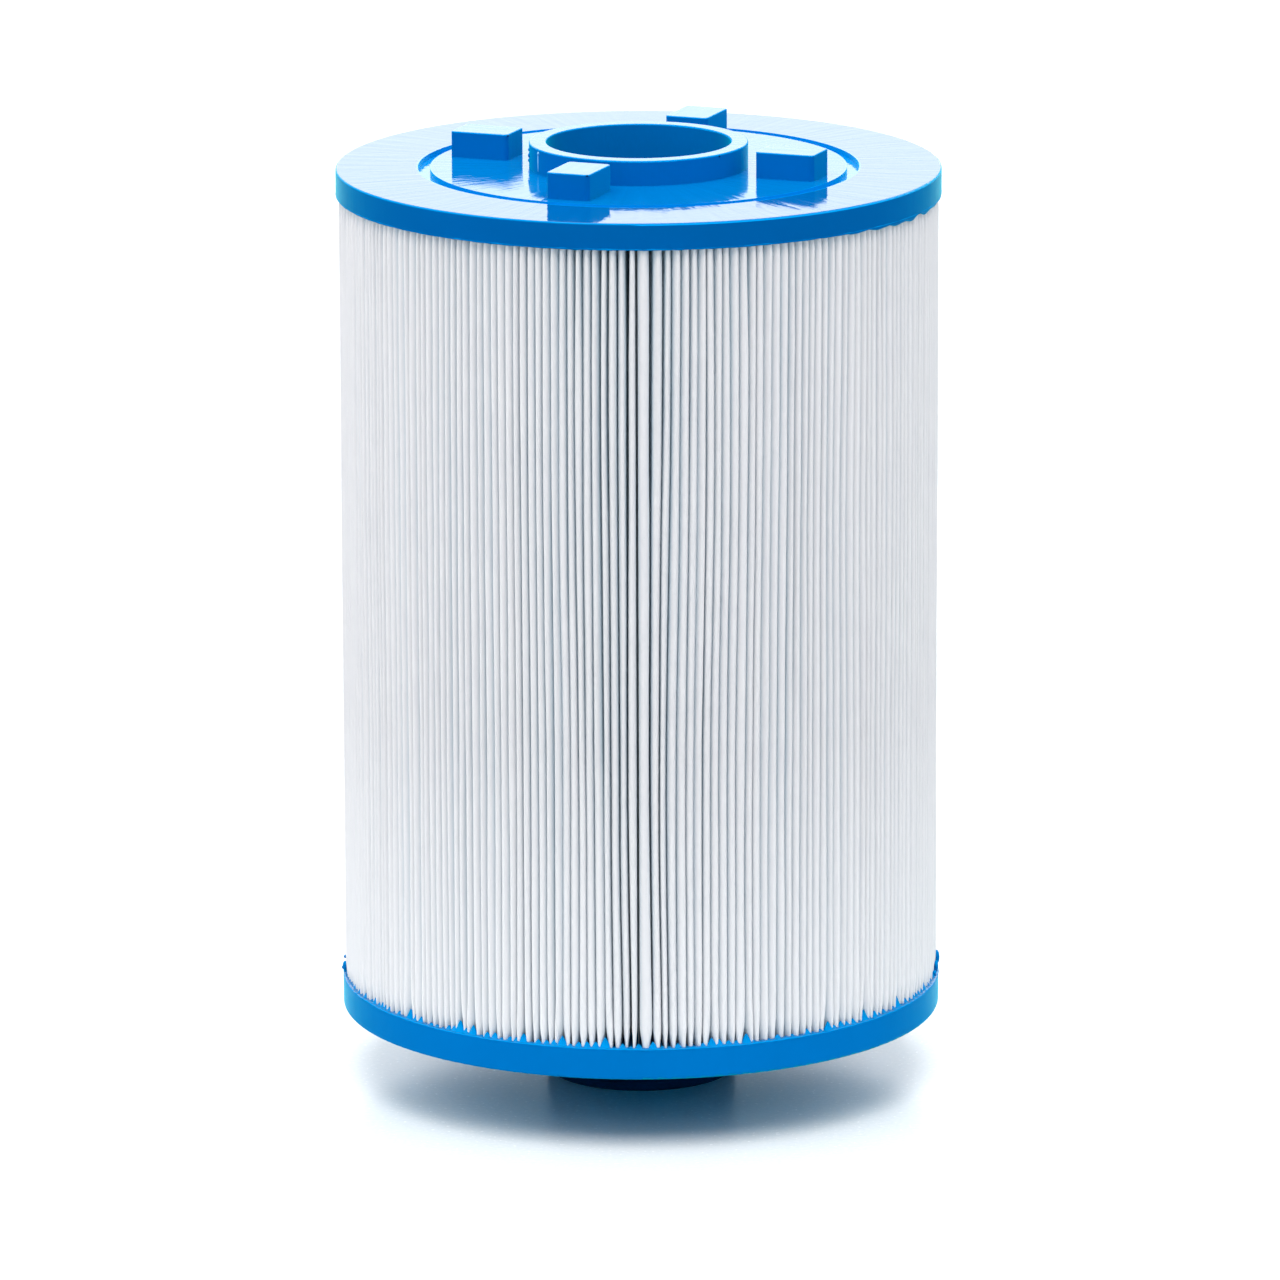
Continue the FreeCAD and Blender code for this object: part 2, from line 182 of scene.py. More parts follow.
class Surface:
    """One Principled material, with short calls for the nodes that vary it."""

    def __init__(self, name, **values):
        self.material = bpy.data.materials.new(name)
        self.material.use_nodes = True
        self.tree = self.material.node_tree
        self.shader = self.tree.nodes["Principled BSDF"]
        for socket, value in values.items():
            self.shader.inputs[socket.replace("_", " ")].default_value = value
        self.place = self.tree.nodes.new("ShaderNodeTexCoord").outputs["Object"]

    def node(self, kind, inputs, **settings):
        made = self.tree.nodes.new(kind)
        for name, value in settings.items():
            setattr(made, name, value)
        for name, value in inputs.items():
            if isinstance(value, bpy.types.NodeSocket):
                self.tree.links.new(value, made.inputs[name])
            else:
                made.inputs[name].default_value = value
        return made

    def math(self, operation, first, second=0.0):
        return self.node("ShaderNodeMath", {0: first, 1: second}, operation=operation).outputs[0]

    def noise(self, size, detail=2.0, place=None):
        """Noise from 0 to 1 whose features are about this size, in metres."""
        inputs = {"Vector": place or self.place, "Scale": 1 / size, "Detail": detail}
        return self.node("ShaderNodeTexNoise", inputs).outputs[0]

    def between(self, value, low, high, start=0.3, end=0.7):
        """The value's middle range, from start to end, turned into low to high."""
        inputs = {"Value": value, "From Min": start, "From Max": end, "To Min": low, "To Max": high}
        return self.node("ShaderNodeMapRange", inputs).outputs[0]

    def colour(self, amount, first, second):
        mix = self.node("ShaderNodeMix", {0: amount}, data_type="RGBA")
        for socket, value in ((6, first), (7, second)):
            if isinstance(value, bpy.types.NodeSocket):
                self.tree.links.new(value, mix.inputs[socket])
            else:
                mix.inputs[socket].default_value = (*value, 1.0)
        return mix.outputs[2]

    def from_axis(self):
        """The vector from the cartridge's axis, level with the place."""
        apart = self.node("ShaderNodeSeparateXYZ", {0: self.place})
        return self.node("ShaderNodeCombineXYZ", {0: apart.outputs[0], 1: apart.outputs[1]}).outputs[0]

    def radius(self):
        """Distance from the cartridge's axis."""
        return self.node("ShaderNodeVectorMath", {0: self.from_axis()}, operation="LENGTH").outputs["Value"]

    def spokes(self, count, ring):
        """A place that changes quickly round the axis and slowly along a radius, with no seam."""
        around = self.node("ShaderNodeVectorMath", {0: self.from_axis()}, operation="NORMALIZE").outputs[0]
        wide = self.node("ShaderNodeVectorMath", {0: around, "Scale": count}, operation="SCALE").outputs[0]
        outward = self.node("ShaderNodeCombineXYZ", {2: self.math("DIVIDE", self.radius(), ring)}).outputs[0]
        return self.node("ShaderNodeVectorMath", {0: wide, 1: outward}, operation="ADD").outputs[0]

    def finish(self, colour, roughness, *bumps):
        """Connects the colour, the roughness and bumps, which are pairs of height and depth in metres."""
        self.tree.links.new(colour, self.shader.inputs["Base Color"])
        self.tree.links.new(roughness, self.shader.inputs["Roughness"])
        normal = None
        for height, depth in bumps:
            inputs = {"Height": height, "Distance": depth, "Strength": 1.0}
            if normal:
                inputs["Normal"] = normal
            normal = self.node("ShaderNodeBump", inputs).outputs[0]
        if normal:
            self.tree.links.new(normal, self.shader.inputs["Normal"])
        return self.material


def shade(colour, factor):
    return tuple(channel * factor for channel in colour)


def glossy_blue(name, side, top, glowing_moat=False):
    """Blue cast or moulded plastic: satin on its walls, and like still liquid where it faces up.

    Rounded edges get a paler blue, a painted highlight, and so, if asked for, does the groove round the lug
    plate, as a painted glow. Undersides get a darker blue as painted shade, and faces that point up a tone of
    their own, set to how the lights make them look.
    """
    surface = Surface(name, IOR=1.5, Sheen_Roughness=0.35, Sheen_Tint=(0.0, 0.85, 0.9, 1.0))
    clouds = surface.noise(0.03, 3)
    flow = surface.noise(1.0, 3, surface.spokes(26, 0.03))
    swirl = surface.noise(0.005, 2)
    peel = surface.noise(0.0016, 2)
    facing = surface.node("ShaderNodeNewGeometry", {}).outputs["Normal"]
    upward = surface.node("ShaderNodeSeparateXYZ", {0: facing}).outputs[2]
    level = surface.between(upward, 0, 1, 0.80, 0.98)
    wall = surface.colour(surface.between(clouds, 0, 1), shade(side, 0.95), shade(side, 1.04))
    face = surface.colour(surface.between(flow, 0, 1), shade(top, 0.96), shade(top, 1.04))
    # painted highlight: where walls start to turn up, at rounded edges, the blue is paler
    tone = surface.colour(surface.between(upward, 0, 1, 0.15, 0.55), wall, PAINTED_HIGHLIGHT_BLUE)
    # painted light: faces that point up take a tone of their own, set to how the lights make them look
    tone = surface.colour(level, tone, face)
    # painted shade: faces that point down get a darker blue
    tone = surface.colour(surface.between(upward, 1, 0, -0.9, -0.5), tone, PAINTED_UNDERSIDE_SHADE)
    # painted glow: the groove round the lug plate gets the same paler blue
    if glowing_moat:
        radius = surface.radius()
        beyond_plate = surface.between(radius, 0, 1, MOAT_INNER, MOAT_INNER + 0.3 * MM)
        within_cap = surface.between(radius, 1, 0, MOAT_OUTER - 0.4 * MM, MOAT_OUTER)
        tone = surface.colour(surface.math("MULTIPLY", beyond_plate, within_cap), tone, PAINTED_HIGHLIGHT_BLUE)
    tint = surface.colour(level, (0.0, 0.6, 1.0), (0.75, 0.85, 0.95))
    surface.tree.links.new(tint, surface.shader.inputs["Specular Tint"])
    mirror = surface.between(level, 0.004, 0.475, 0, 1)
    surface.tree.links.new(mirror, surface.shader.inputs["Specular IOR Level"])
    sheen = surface.between(level, 0.55, 0.0, 0, 1)
    surface.tree.links.new(sheen, surface.shader.inputs["Sheen Weight"])
    rough = surface.colour(level, (0.26, 0.26, 0.26), surface.between(flow, 0.035, 0.085))
    return surface.finish(tone, rough, (flow, 0.00007), (swirl, 0.00003), (peel, 0.000005))


def flash_painted_highlight():
    """The thin ridge along the collar's mould line, in a paler blue than the plate, a painted highlight."""
    surface = Surface("flash_painted_highlight", IOR=1.5)
    clouds = surface.noise(0.002, 2)
    # painted highlight: far paler than the plastic it stands on
    tone = surface.colour(surface.between(clouds, 0, 1), (0.10, 0.50, 0.85), (0.35, 0.75, 1.0))
    return surface.finish(tone, surface.between(clouds, 0.1, 0.2), (clouds, 0.00004))


def navy_plastic_painted_shade():
    """The spigot's moulded blue plastic, painted dark navy as painted shade."""
    surface = Surface("navy_plastic_painted_shade", IOR=1.49, Specular_IOR_Level=0.03, Specular_Tint=(0.0, 0.6, 1.0, 1.0))
    # painted shade: navy for blue plastic that sits in the shade under the bottom cap
    colour = (0.001, 0.042, 0.118)
    clouds = surface.noise(0.012, 3)
    grain = surface.noise(0.0007, 3)
    tone = surface.colour(surface.between(clouds, 0, 1), shade(colour, 0.85), shade(colour, 1.15))
    rough = surface.between(clouds, 0.24, 0.36)
    return surface.finish(tone, rough, (grain, 0.00001))


def white_plastic():
    """Natural white moulded plastic of the core."""
    surface = Surface("white_plastic", IOR=1.5)
    clouds = surface.noise(0.02, 3)
    grain = surface.noise(0.0009, 2)
    tone = surface.colour(surface.between(clouds, 0, 1), (0.70, 0.72, 0.73), (0.78, 0.79, 0.79))
    rough = surface.between(clouds, 0.34, 0.46)
    return surface.finish(tone, rough, (grain, 0.00001))


def spun_polyester():
    """Spun-bonded filter fabric: matted fibres, slightly uneven in density, with painted shade that makes it
    bluer deep in the folds.

    It is paler over its lowest 75 millimetres, towards the bottom cap: painted light, for light bounced up
    from the floor.
    """
    surface = Surface(
        "spun_polyester", IOR=1.45, Specular_IOR_Level=0.2, Sheen_Weight=0.1, Sheen_Roughness=0.5)
    clouds = surface.noise(0.009, 4)
    fibre = surface.noise(0.0005, 4)
    along = surface.node("ShaderNodeMapping", {"Vector": surface.place, "Scale": (1.0, 1.0, 0.12)}).outputs[0]
    streaks = surface.noise(0.0012, 3, along)
    # painted shade: below the crests, towards the folds, the fabric turns darker and bluer
    clear_of_fold_shade = surface.between(surface.radius(), 0, 1, MEDIA_OUTER - 2.2 * MM, MEDIA_OUTER - 0.8 * MM)
    crest = surface.colour(surface.between(clouds, 0, 1), (0.75, 0.72, 0.73), (0.775, 0.745, 0.75))
    crest = surface.colour(surface.between(streaks, 0.0, 0.3), crest, (0.73, 0.71, 0.74))
    height = surface.node("ShaderNodeSeparateXYZ", {0: surface.place}).outputs[2]
    # painted light: paler towards the bottom cap, for light bounced up from the floor
    painted_floor_bounce = surface.between(height, 1, 0, MEDIA_FOOT, MEDIA_FOOT + 0.075)
    crest = surface.colour(painted_floor_bounce, crest, (0.88, 0.86, 0.87))
    painted_fold_shade = surface.colour(painted_floor_bounce, (0.64, 0.73, 0.79), (0.76, 0.80, 0.84))
    tone = surface.colour(clear_of_fold_shade, painted_fold_shade, crest)
    rough = surface.between(fibre, 0.72, 0.92)
    return surface.finish(tone, rough, (fibre, 0.00005), (streaks, 0.00005))


def seam_adhesive_painted_shade():
    """Adhesive that joins the sheet's two ends, painted dark as the shade deep in the seam slot."""
    surface = Surface("seam_adhesive_painted_shade", IOR=1.48)
    clouds = surface.noise(0.004, 3)
    # painted shade: near-black grey for the shade deep in the seam slot
    tone = surface.colour(surface.between(clouds, 0, 1), (0.07, 0.09, 0.10), (0.13, 0.15, 0.16))
    return surface.finish(tone, surface.between(clouds, 0.35, 0.5), (clouds, 0.0001))


def studio_floor():
    surface = Surface("studio_floor", IOR=1.5, Specular_IOR_Level=0.4)
    grain = surface.noise(0.0012, 3)
    patches = surface.noise(0.05, 2)
    tone = surface.colour(surface.between(patches, 0, 1), (0.915, 0.945, 0.95), (0.925, 0.955, 0.96))
    tone = surface.colour(surface.between(grain, 0, 1), (0.87, 0.92, 0.935), tone)
    rough = surface.between(grain, 0.16, 0.28)
    return surface.finish(tone, rough, (grain, 0.00001))


# ---------------------------------------------------------------- the pleated sheet


def ease(share):
    share = np.clip(share, 0, 1)
    return share * share * (3 - 2 * share)


def wander(rng, count, knots, heights):
    """Smooth random values from -1 to 1: a row for each of count things, a column for each height."""
    marks = rng.uniform(-1, 1, (count, knots))
    place = heights * (knots - 1)
    low = np.minimum(place.astype(int), knots - 2)
    blend = ease(place - low)
    return marks[:, low] * (1 - blend) + marks[:, low + 1] * blend


def shared_lean(rng, knots, heights):
    """Wander that whole groups of pleats share, smooth round the circle."""
    marks = wander(rng, knots, 4, heights)
    place = np.arange(PLEATS) * knots / PLEATS
    low = place.astype(int)
    blend = ease(place - low)[:, None]
    return marks[low] * (1 - blend) + marks[(low + 1) % knots] * blend


def nearest_slot(angle_deg):
    """Which of the slots between the pleats lies at this plan angle."""
    turn = (math.radians(angle_deg) - SEAM_ANGLE) % (2 * math.pi)
    return round(turn / (2 * math.pi) * PLEATS) % PLEATS


def fanned(number):
    """How far the pleats beside the seam lean away from it at the top: most at the third, 0 to 1."""
    return ease(number / 3) * (1 - ease((number - 3) / 27))


class Pleats:
    """Plan section of the folded sheet at every row, in millimetres.

    Places round the cartridge are arc lengths on the reference circle, from the seam. Slot n is the
    gap before pleat n, and slot 0 holds the seam. Arrays have a line for each pleat and a column
    for each row.
    """

    def __init__(self, rng, rows):
        self.rows = rows
        self.reference = MEDIA_OUTER / MM - CREST_SETBACK
        self.circle = 2 * math.pi * self.reference
        self.pitch = self.circle / PLEATS
        share = rows / rows[-1]
        self.slots = self.spread(rng, share)
        following = np.vstack((self.slots[1:], self.slots[:1] + self.circle))
        spacing = following - self.slots

        def uneven(spread, drift):
            own = rng.uniform(-1, 1, PLEATS)[:, None]
            return spread * own + drift * wander(rng, PLEATS, 7, share)

        mouths = MOUTH + uneven(MOUTH_SPREAD, MOUTH_WANDER)
        throats = THROAT + uneven(THROAT_SPREAD, THROAT_WANDER)
        for angle, extra, low, high in OPEN_SLOTS:
            opened = extra * ease((share - low) / OPENING + 1) * ease((high - share) / OPENING + 1)
            mouths[nearest_slot(angle)] += opened
            throats[nearest_slot(angle)] += 0.8 * opened
        mouths[0] = SEAM_MOUTH
        throats[0] = SEAM_THROAT

        # some folds stand apart for a short way under the top cap
        below_top = rows[-1] - rows
        parted = PARTED_TOP * rng.uniform(0, 1, PLEATS)[:, None] ** 2
        parted = parted * (1 - ease(below_top / rng.uniform(12.0, 36.0, PLEATS)[:, None]))
        mouths += parted
        throats += 0.7 * parted
        next_mouths = np.roll(mouths, -1, axis=0)
        next_throats = np.roll(throats, -1, axis=0)

        # the last few millimetres above the bottom cap, where each pleat is pinched
        pinched = 1 - ease(rows / rng.uniform(4.0, 7.0, PLEATS)[:, None])
        sway = FOOT_SWAY * rng.uniform(-1, 1, PLEATS)[:, None]
        for angle in PARTED_FEET:
            slot = nearest_slot(angle)
            sway[slot] += PARTED_SWAY
            sway[slot - 1] -= PARTED_SWAY
        sway = sway * (1 - ease(rows / 12.0))
        lean = LEAN_SPREAD * rng.uniform(-1, 1, PLEATS)[:, None] + LEAN_WANDER * wander(rng, PLEATS, 9, share)

        self.sheet = SHEET * (1 - PINCH_SHEET * pinched)
        middle = (self.slots + following) / 2 + (mouths - next_mouths) / 4
        self.tip = middle + lean + sway
        tip_half = (spacing - (mouths + next_mouths) / 2) / 2
        least_half = self.sheet + LEAST_BEND
        self.tip_half = np.maximum(tip_half * (1 - PINCH_CREST * pinched), least_half)
        narrowed = PINCH_FOLD * pinched * spacing / 2
        flank_left = self.slots + throats / 2 + narrowed + sway / 2
        flank_right = following - next_throats / 2 - narrowed + sway / 2
        self.flank_left = np.minimum(flank_left, self.tip - least_half)
        self.flank_right = np.maximum(flank_right, self.tip + least_half)

        tucked = 1 - ease(below_top / 3.0)
        crest = self.reference + uneven(CREST_SPREAD, CREST_WANDER)
        self.crest = crest - PINCH_DEPTH * pinched - TUCK_DEPTH * tucked

    def spread(self, rng, share):
        """Places of the slots: uneven from pleat to pleat, and wandering a little along the height."""
        weights = 1 + WIDTH_SPREAD * rng.uniform(-1, 1, PLEATS)
        weights[0] = SEAM_WEIGHT
        starts = np.concatenate(([0.0], np.cumsum(weights)[:-1])) * self.circle / weights.sum()
        own = SLOT_WANDER * wander(rng, PLEATS, 6, share) + SLOT_RIPPLE * wander(rng, PLEATS, 14, share)
        number = np.arange(PLEATS)
        fan = fanned(number) - FAN_LEFT * fanned(PLEATS - number)
        leant = FAN * fan[:, None] * ease((share - FAN_START) / (1 - FAN_START))
        slots = starts[:, None] + own + leant + GROUP_WANDER * shared_lean(rng, 26, share)
        slots[0] = starts[0]
        return slots

    def face(self, inside):
        """Points of one face of the sheet, from its first end to its last: shape (points, rows, 2).

        Each point is an arc length and a radius. inside is 0 for the face that is seen from outside
        and 1 for the face towards the core.
        """
        inset = self.sheet * inside
        half = self.tip_half - inset
        bend = half / math.sin(TIP_SWEEP)
        crest = self.crest - inset
        groove = self.crest - GROOVE_DEPTH
        root_radius = ROOT_RADIUS + SHEET * (1 - inside)
        root_half = (0.065 + SHEET * inside) * self.reference / ROOT_RADIUS
        end_shift = (0.15 + SHEET * inside) * self.reference / ROOT_RADIUS
        flat = np.ones(len(self.rows))
        points = [np.stack((end_shift * flat, root_radius * flat), -1)]
        for pleat in range(PLEATS):
            points.append(np.stack((self.flank_left[pleat] + inset[pleat], groove[pleat]), -1))
            for step in range(TIP_STEPS + 1):
                turn = TIP_SWEEP * (2 * step / TIP_STEPS - 1)
                around = self.tip[pleat] + bend[pleat] * math.sin(turn)
                points.append(np.stack((around, crest[pleat] - bend[pleat] * (1 - math.cos(turn))), -1))
            points.append(np.stack((self.flank_right[pleat] - inset[pleat], groove[pleat]), -1))
            if pleat + 1 < PLEATS:
                root = (pleat + 1) * self.pitch
                points.append(np.stack(((root - root_half) * flat, root_radius * flat), -1))
                points.append(np.stack(((root + root_half) * flat, root_radius * flat), -1))
        points.append(np.stack(((self.circle - end_shift) * flat, root_radius * flat), -1))
        return np.array(points)


def make_pleated_sheet(pleats, material):
    """The whole folded sheet as one closed skin: both faces, both ends and its upper and lower edges."""
    loop = np.concatenate((pleats.face(0), pleats.face(1)[::-1]))
    angle = SEAM_ANGLE + loop[..., 0] / pleats.reference
    height = np.broadcast_to(MEDIA_FOOT / MM + pleats.rows, angle.shape)
    vertices = np.stack((loop[..., 1] * np.cos(angle), loop[..., 1] * np.sin(angle), height), -1) * MM

    around, levels = vertices.shape[:2]
    side = around // 2
    index = np.arange(around * levels).reshape(around, levels)
    following = np.roll(index, -1, axis=0)
    walls = np.stack((index[:, :-1], following[:, :-1], following[:, 1:], index[:, 1:]), -1).reshape(-1, 4)
    near = index[:side]
    far = index[side:][::-1]
    lower = np.stack((near[:-1, 0], far[:-1, 0], far[1:, 0], near[1:, 0]), -1)
    upper = np.stack((near[:-1, -1], near[1:, -1], far[1:, -1], far[:-1, -1]), -1)
    faces = np.concatenate((walls, lower, upper))

    mesh = bpy.data.meshes.new("pleated_sheet")
    mesh.from_pydata(vertices.reshape(-1, 3).tolist(), [], faces.tolist())
    mesh.shade_smooth()
    mesh.set_sharp_from_angle(angle=math.radians(70))
    mesh.materials.append(material)
    return place(mesh)


# ---------------------------------------------------------------- small cast details


def place(mesh):
    piece = bpy.data.objects.new(mesh.name, mesh)
    bpy.context.scene.collection.objects.link(piece)
    return piece


def ripple(rng, angles, waves, low, high):
    """A seamless random profile round the axis, between low and high."""
    total = np.zeros_like(angles)
    for count in waves:
        total += rng.uniform(0.4, 1) * np.sin(count * angles + rng.uniform(0, 2 * math.pi)) / len(waves)
    return low + (high - low) * (0.5 + 0.5 * np.clip(total * 1.6, -1, 1))


def ring_sections(angles, profile):
    """Section points at each angle, in metres, from (radius, height) pairs in millimetres."""
    return np.array([
        (radius * np.cos(angles), radius * np.sin(angles), height + 0 * angles)
        for radius, height in profile
    ]).transpose(2, 0, 1) * MM


def ring_mesh(name, sections, material):
    """A closed ring from an array of section points, shape (places round the axis, points, 3)."""
    around, points = sections.shape[:2]
    index = np.arange(around * points).reshape(around, points)
    onward = np.roll(index, -1, axis=0)
    across = np.roll(index, -1, axis=1)
    both = np.roll(onward, -1, axis=1)
    faces = np.stack((index, onward, both, across), -1).reshape(-1, 4)
    mesh = bpy.data.meshes.new(name)
    mesh.from_pydata(sections.reshape(-1, 3).tolist(), [], faces.tolist())
    mesh.shade_smooth()
    mesh.materials.append(material)
    return place(mesh)


def resin_swell(rng, angles):
    """How far a bead of resin stands out past the caps' edge, in millimetres."""
    return CAP_RADIUS / MM + ripple(rng, angles, (5, 13, 37, 83), -0.02, 0.10)


def bead_edge(outer, creep):
    """Outer side of a bead of resin, from inside the cap to near the bead's crest."""
    flat = np.zeros_like(outer)
    return (
        (outer - 0.12, flat - 0.35),
        (outer, flat - 0.12),
        (outer - 0.04, 0.35 * creep),
        (outer - 0.30, 0.85 * creep),
    )


def make_top_lip(rng, material):
    """The thin uneven bead that hangs from the top cap, with bigger scallops on its right side."""
    angles = np.linspace(0, 2 * math.pi, 1440, endpoint=False)
    from_right = np.abs((angles + math.radians(205)) % (2 * math.pi) - math.pi) / math.radians(32)
    creep = ripple(rng, angles, (9, 23, 57, 110, 171), 0.05, 0.30)
    creep += ripple(rng, angles, (23, 38, 57), 0.0, 1.30) * (1 - ease(from_right))
    outer = resin_swell(rng, angles)
    flat = np.zeros_like(angles)
    inner = CAP_RADIUS / MM - 1.1 + flat
    profile = bead_edge(outer, creep) + (
        (outer - 0.60, creep),
        (inner, 0.7 * creep),
        (inner, flat - 0.35),
    )
    sections = ring_sections(angles, [(radius, MEDIA_TOP / MM - rise) for radius, rise in profile])
    return ring_mesh("top_resin_lip", sections, material)


def make_bottom_lip(rng, pleats, material):
    """The bead on the bottom cap's edge, with a tooth of resin drawn up into each fold's foot."""
    angles = np.linspace(0, 2 * math.pi, TOOTH_STEPS, endpoint=False)
    creep = ripple(rng, angles, (9, 23, 57, 110, 171), 0.10, 0.50)
    outer = resin_swell(rng, angles)
    heights = rng.uniform(0.4, 1.9, PLEATS)
    for angle in PARTED_FEET:
        heights[nearest_slot(angle)] = rng.uniform(2.2, 3.4)
    around = (angles - SEAM_ANGLE) % (2 * math.pi) * pleats.reference
    tooth = np.zeros_like(angles)
    for place_around, height in zip(pleats.slots[:, 0], heights):
        distance = np.abs((around - place_around + pleats.circle / 2) % pleats.circle - pleats.circle / 2)
        reach = 0.70 + 0.25 * height
        tooth = np.maximum(tooth, height * np.clip(1 - distance / reach, 0, 1) ** 0.8)
    peak = np.maximum(tooth, creep + 0.05)
    crest = pleats.crest.mean()
    flat = np.zeros_like(angles)
    profile = bead_edge(outer, creep) + (
        (crest + 0.02 + flat, creep),
        (crest - 0.35 - 0.10 * peak, peak),
        (crest - 0.75 - 0.10 * peak, 0.9 * peak),
        (crest - 1.60 + flat, flat - 0.35),
    )
    sections = ring_sections(angles, [(radius, MEDIA_FOOT / MM + rise) for radius, rise in profile])
    # reversed, because this bead rises where the top one hangs
    return ring_mesh("bottom_resin_lip", sections[:, ::-1], material)


def make_blobs(name, blobs, material):
    """Small drops on the outside: plan angle, radius and height of each, then its half sizes, in
    millimetres, outwards, round the axis and upwards, and its lean in degrees."""
    turns = np.linspace(0, 2 * math.pi, 14, endpoint=False)
    slopes = np.linspace(-math.pi / 2, math.pi / 2, 9)[1:-1]
    vertices, faces = [], []
    for angle, radius, height, out, side, up, lean in blobs:
        first = len(vertices)
        points = [(0, 0, -1)] + [
            (math.cos(slope) * math.cos(turn), math.cos(slope) * math.sin(turn), math.sin(slope))
            for slope in slopes for turn in turns
        ] + [(0, 0, 1)]
        leaning = Matrix.Rotation(math.radians(lean), 4, "X") @ Matrix.Diagonal((out, side, up, 1))
        turned = Matrix.Rotation(math.radians(angle), 4, "Z")
        onto = turned @ Matrix.Translation((radius, 0, height)) @ leaning
        vertices += [(onto @ Vector(point)) * MM for point in points]
        last, width = first + len(points) - 1, len(turns)
        for step in range(width):
            onward = (step + 1) % width
            faces.append((first, first + 1 + onward, first + 1 + step))
            for ring in range(len(slopes) - 1):
                low = first + 1 + ring * width
                faces.append((low + step, low + onward, low + width + onward, low + width + step))
            top = first + 1 + (len(slopes) - 1) * width
            faces.append((top + step, top + onward, last))
    mesh = bpy.data.meshes.new(name)
    mesh.from_pydata(vertices, [], faces)
    mesh.shade_smooth()
    mesh.materials.append(material)
    return place(mesh)


# ---------------------------------------------------------------- studio


def make_camera():
    """Long lens, a little above the cartridge, looking along +Y."""
    data = bpy.data.cameras.new("camera")
    data.sensor_width = 36.0
    data.lens = 274.2
    data.clip_end = 50.0
    camera = bpy.data.objects.new("camera", data)
    pitch, roll = math.radians(13.549), math.radians(-0.172)
    aim = Matrix.Rotation(math.pi / 2 - pitch, 4, "X") @ Matrix.Rotation(roll, 4, "Z")
    camera.matrix_world = Matrix.Translation((0.0, -2.4101, 0.6932)) @ aim
    bpy.context.scene.collection.objects.link(camera)
    bpy.context.scene.camera = camera


def softbox(name, position, target, width, height, radiance):
    """A rectangular light that faces its target; the camera doesn't see it."""
    data = bpy.data.lights.new(name, "AREA")
    data.shape = "RECTANGLE"
    data.size = width
    data.size_y = height
    data.energy = radiance * math.pi * width * height
    data.color = SOFTBOX_COLOUR
    light = bpy.data.objects.new(name, data)
    light.location = position
    light.rotation_euler = (Vector(target) - Vector(position)).to_track_quat("-Z", "Y").to_euler()
    light.visible_camera = False
    bpy.context.scene.collection.objects.link(light)


def make_world():
    """White all round to the eye; as light, a teal glow that is dim near the floor."""
    world = bpy.data.worlds.new("studio")
    world.use_nodes = True
    tree = world.node_tree

    def link(kind, source, socket=0):
        node = tree.nodes.new(kind)
        tree.links.new(source, node.inputs[socket])
        return node

    direction = tree.nodes.new("ShaderNodeTexCoord").outputs["Generated"]
    height = link("ShaderNodeSeparateXYZ", direction).outputs[2]
    rise = link("ShaderNodeMapRange", height)
    rise.inputs["From Min"].default_value = 0.20
    rise.inputs["From Max"].default_value = 0.60
    glow = link("ShaderNodeMix", rise.outputs[0])
    glow.data_type = "RGBA"
    glow.inputs[6].default_value = (*GLOW_LOW, 1.0)
    glow.inputs[7].default_value = (*GLOW_HIGH, 1.0)
    path = tree.nodes.new("ShaderNodeLightPath")
    light = link("ShaderNodeMix", path.outputs["Is Camera Ray"])
    light.data_type = "RGBA"
    tree.links.new(glow.outputs[2], light.inputs[6])
    light.inputs[7].default_value = (1.05, 1.05, 1.05, 1.0)
    tree.links.new(light.outputs[2], tree.nodes["Background"].inputs["Color"])
    bpy.context.scene.world = world


def make_floor(material):
    half = 7.0
    mesh = bpy.data.meshes.new("floor")
    corners = [(-half, -half, 0), (half, -half, 0), (half, half, 0), (-half, half, 0)]
    mesh.from_pydata(corners, [], [(0, 1, 2, 3)])
    mesh.materials.append(material)
    place(mesh)


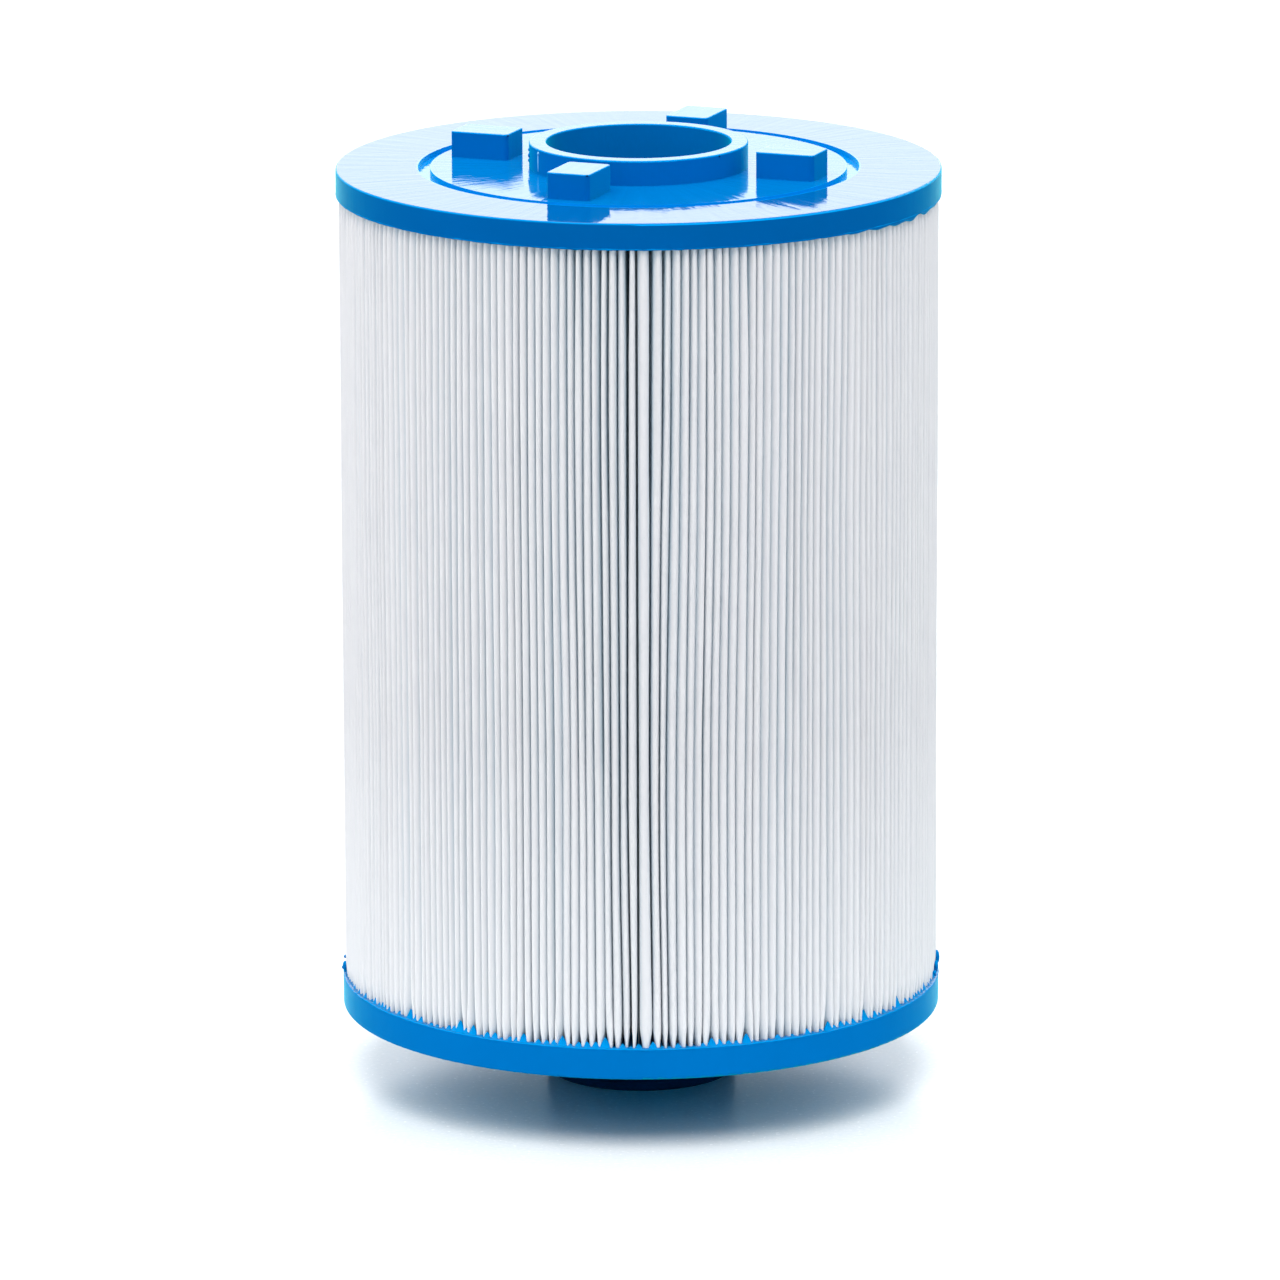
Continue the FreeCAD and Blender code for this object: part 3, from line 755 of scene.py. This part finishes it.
def make_lights():
    middle = (0.0, 0.0, OBJECT_TOP / 2)
    softbox("left_softbox", (-1.1, -0.25, 0.7), middle, 1.0, 0.75, 1.75)
    softbox("right_softbox", (1.1, -0.25, 0.7), middle, 1.0, 0.75, 1.0)
    softbox("overhead_softbox", (0.0, -0.4, 1.5), middle, 1.5, 1.5, 3.75)
    softbox("backdrop_light", (0.0, 2.2, 0.62), (0.0, 0.0, 0.45), 3.2, 1.2, 2.0)


# ---------------------------------------------------------------- assembly


def dress_cad_nodes(materials):
    for node, material in materials.items():
        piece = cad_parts[node]
        piece.data.materials.clear()
        piece.data.materials.append(material)


make_camera()
make_world()
make_lights()
make_floor(studio_floor())

# Both caps are one resin: the top cap's darker blue is painted shade and the bottom cap's lighter blue is
# painted light, shaded and lit copies of it
shaded_top_blue = glossy_blue("top_cap_shaded_blue", (0.0, 0.100, 0.35), (0.0, 0.115, 0.36), glowing_moat=True)
lit_bottom_blue = glossy_blue("bottom_cap_lit_blue", (0.0, 0.17, 0.53), (0.0, 0.17, 0.46))
plate_blue = glossy_blue("plate_blue", (0.0, 0.155, 0.50), (0.0, 0.18, 0.51), glowing_moat=True)
shade_navy = navy_plastic_painted_shade()
dress_cad_nodes({
    "top_end_cap": shaded_top_blue,
    "bottom_end_cap": lit_bottom_blue,
    "lug_plate": plate_blue,
    "threaded_spigot": shade_navy,
    "center_core": white_plastic(),
    "media_seam": seam_adhesive_painted_shade(),
})

span = (MEDIA_TOP - MEDIA_FOOT) / MM
rows = np.array(FOOT_ROWS + MIDDLE_ROWS + tuple(span - gap for gap in TOP_ROWS))
pleats = Pleats(np.random.default_rng(41), rows)
media = make_pleated_sheet(pleats, spun_polyester())
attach(media, BODY)
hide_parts("pleated_media")

details = {
    make_bottom_lip(np.random.default_rng(7), pleats, lit_bottom_blue): "cast_cap",
    make_top_lip(np.random.default_rng(8), shaded_top_blue): "cast_cap",
    make_blobs("resin_specks", RESIN_SPECKS, lit_bottom_blue): "cast_cap",
    make_blobs("collar_flash_highlight", COLLAR_FLASH, flash_painted_highlight()): "moulded_blue",
    make_blobs("collar_bumps", COLLAR_BUMPS, plate_blue): "moulded_blue",
    make_blobs("edge_nick_shades", NICK_SHADES, shade_navy): "moulded_blue",
}
for piece, slot in details.items():
    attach(piece, BODY)

bpy.context.scene.view_settings.view_transform = "Standard"
